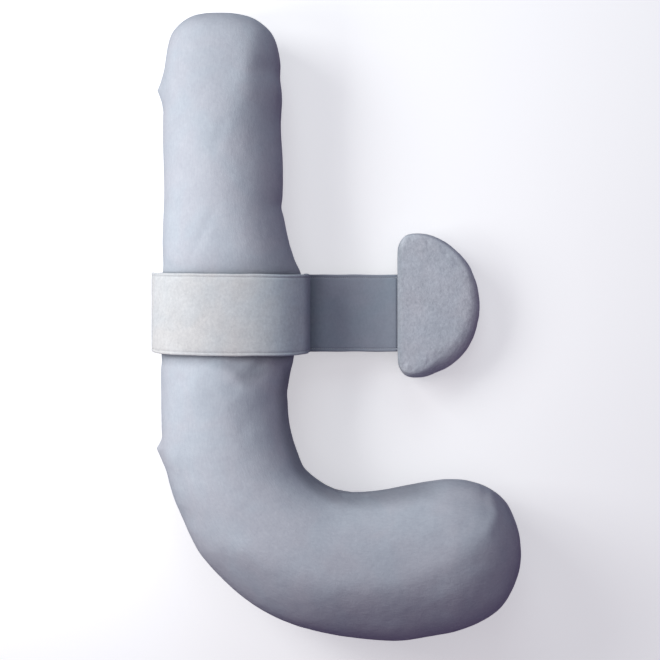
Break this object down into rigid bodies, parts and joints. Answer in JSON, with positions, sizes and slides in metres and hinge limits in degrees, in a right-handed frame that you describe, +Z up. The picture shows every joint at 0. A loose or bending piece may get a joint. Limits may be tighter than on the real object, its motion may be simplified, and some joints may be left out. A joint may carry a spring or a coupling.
{
  "type": "pregnancy pillow",
  "caption": "J-shaped stuffed body pillow with a wide cloth belt round its leg and a half-moon belly wedge sewn to the belt's end, lying on its back.",
  "frame": {"origin": "middle of the footprint, on the surface that the pillow lies on", "axes": "+Y along the leg towards its rounded top end, +X from the leg towards the foot's toe and the wedge, +Z up"},
  "size_m": [0.7644, 1.2894, 0.2675],
  "materials": {
    "pillow_cloth": "pale blue-grey brushed jersey, matt",
    "belt_cloth": "light grey napped cloth, matt",
    "wedge_cloth": "mid grey napped cloth, matt"
  },
  "bodies": {
    "root": {"j_pillow": "pillow_cloth", "belt": "belt_cloth", "belly_wedge": "wedge_cloth"}
  },
  "joints": []
}
